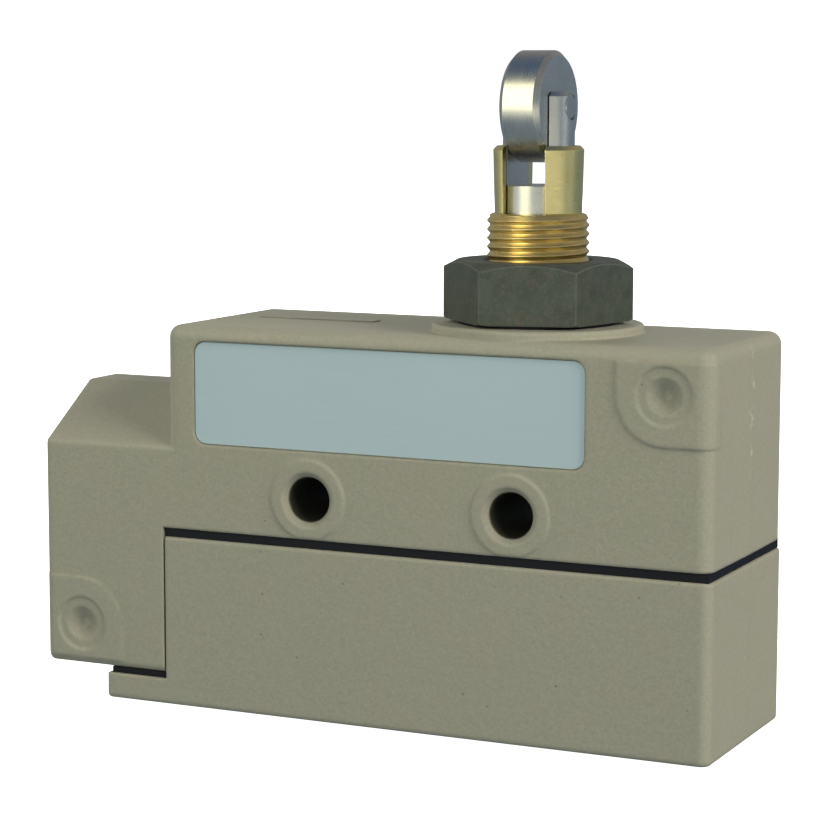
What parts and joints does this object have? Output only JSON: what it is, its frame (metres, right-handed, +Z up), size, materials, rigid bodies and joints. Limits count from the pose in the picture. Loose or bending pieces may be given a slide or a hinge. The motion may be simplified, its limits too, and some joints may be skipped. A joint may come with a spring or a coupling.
{
  "type": "limit switch",
  "caption": "Enclosed limit switch: die-cast case with conduit leg and screwed terminal cover, panel-mount threaded sleeve with nut, cross-roller plunger and snap switch inside.",
  "frame": {"origin": "under the middle of the case, on the plane of its bottom face", "axes": "+Z up along the plunger, +X from the conduit end to the far end, +Y out of the mounting face, so the nameplate faces -Y"},
  "size_m": [0.0852, 0.0258, 0.0777],
  "materials": {
    "case_paint": "matte baked paint with a fine texture over die-cast metal",
    "black_rubber": "matte black moulded rubber",
    "fibre": "matte vulcanised fibre sheet",
    "zinc_steel": "bright zinc plate",
    "plate": "satin anodised sheet",
    "brass": "turned",
    "nut_steel": "dark matte plated",
    "spring_steel": "drawn wire",
    "phenolic": "moulded phenolic, satin",
    "silver": "satin silver",
    "green_screw": "green coloured plate",
    "polished_steel": "ground and polished",
    "pin_plastic": "moulded, glossy",
    "blade_copper": "rolled copper alloy strip"
  },
  "bodies": {
    "case": {"housing": "case_paint", "terminal_cover": "case_paint", "cover_gasket": "black_rubber", "cover_liner": "fibre", "long_cover_screw": "zinc_steel", "short_cover_screw": "zinc_steel", "cover_screw_seal": "black_rubber", "nameplate": "plate", "threaded_sleeve": "brass", "lock_nut": "nut_steel", "panel_seal": "black_rubber", "spring_seat": "zinc_steel", "return_spring": "spring_steel", "switch_case": "phenolic", "switch_lid": "phenolic", "switch_screws": "zinc_steel", "switch_rivets": "brass", "common_terminal": "brass", "open_terminal": "brass", "closed_terminal": "brass", "fixed_contacts": "silver", "terminal_screws": "zinc_steel", "terminal_washers": "zinc_steel", "ground_screw": "green_screw", "ground_washer": "zinc_steel"},
    "plunger": {"plunger": "polished_steel", "plunger_ring": "black_rubber", "snap_ring": "spring_steel", "roller_pin": "polished_steel", "overtravel_spring": "spring_steel"},
    "roller": {"roller": "polished_steel"},
    "pusher": {"pusher": "zinc_steel", "switch_pin": "pin_plastic"},
    "contact_blade": {"contact_blade": "blade_copper", "moving_contact": "silver"}
  },
  "joints": [
    {"name": "plunger_slide", "type": "slide", "parent": "case", "child": "plunger", "axis": [0, 0, -1], "range_m": [0, 0.0055], "stiffness_N_per_m": 700, "springref_m": -0.004, "deforming": ["return_spring", "overtravel_spring"]},
    {"name": "roller_spin", "type": "hinge", "parent": "plunger", "child": "roller", "pos_m": [0.01681, 0, 0.0713], "axis": [1, 0, 0], "continuous": true},
    {"name": "pusher_slide", "type": "slide", "parent": "case", "child": "pusher", "axis": [0, 0, -1], "range_m": [0, 0.0009]},
    {"name": "blade_pivot", "type": "hinge", "parent": "case", "child": "contact_blade", "pos_m": [-0.01299, 0, 0.03515], "axis": [0, 1, 0], "range_deg": [0, 1.6]}
  ],
  "couplings": [
    {"joint": "pusher_slide", "follows": "plunger_slide", "ratio": 0.16363},
    {"joint": "blade_pivot", "follows": "plunger_slide", "rad_per_m": 5}
  ]
}
